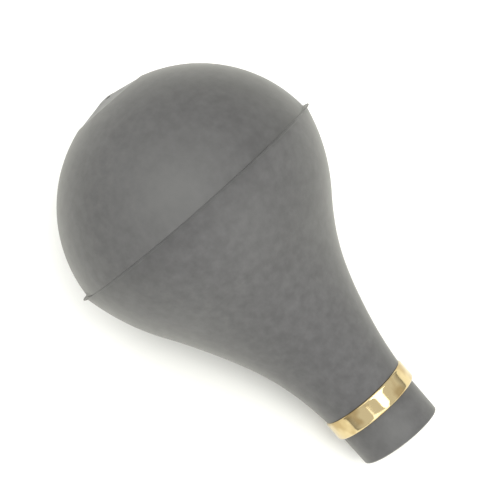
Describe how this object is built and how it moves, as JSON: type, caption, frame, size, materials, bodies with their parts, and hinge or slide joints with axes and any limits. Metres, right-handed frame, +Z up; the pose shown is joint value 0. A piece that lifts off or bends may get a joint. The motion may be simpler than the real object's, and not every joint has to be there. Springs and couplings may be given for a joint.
{
  "type": "dust blower bulb",
  "caption": "Pear-shaped rubber squeeze bulb with a brass-banded neck, a nozzle socket in its mouth and a one-way air inlet in its dome.",
  "frame": {"origin": "on the table, under the centre of the bulb's bounding box as it lies", "axes": "+X towards the mouth, with the bulb's axis in the XZ plane and dipping to the mouth; +Z up"},
  "size_m": [0.0932, 0.0618, 0.0587],
  "materials": {
    "grey_rubber": "matt moulded, faintly dusty",
    "polished_brass": "polished",
    "turned_brass": "turned",
    "hard_rubber": "smooth, satin",
    "disc_rubber": "smooth, matt"
  },
  "bodies": {
    "bulb": {"neck_half": "grey_rubber", "brass_band": "polished_brass", "neck_bush": "turned_brass"},
    "dome": {"dome_half": "grey_rubber", "inlet_seat": "hard_rubber", "inlet_cage": "hard_rubber"},
    "valve_disc": {"inlet_disc": "disc_rubber"}
  },
  "joints": [
    {"name": "squeeze", "type": "slide", "parent": "bulb", "child": "dome", "axis": [0.9492, 0, -0.3148], "range_m": [0, 0.018], "stiffness_N_per_m": 1200, "deforming": ["dome_half"]},
    {"name": "disc_lift", "type": "slide", "parent": "dome", "child": "valve_disc", "axis": [0.9492, 0, -0.3148], "range_m": [0, 0.0008]}
  ]
}
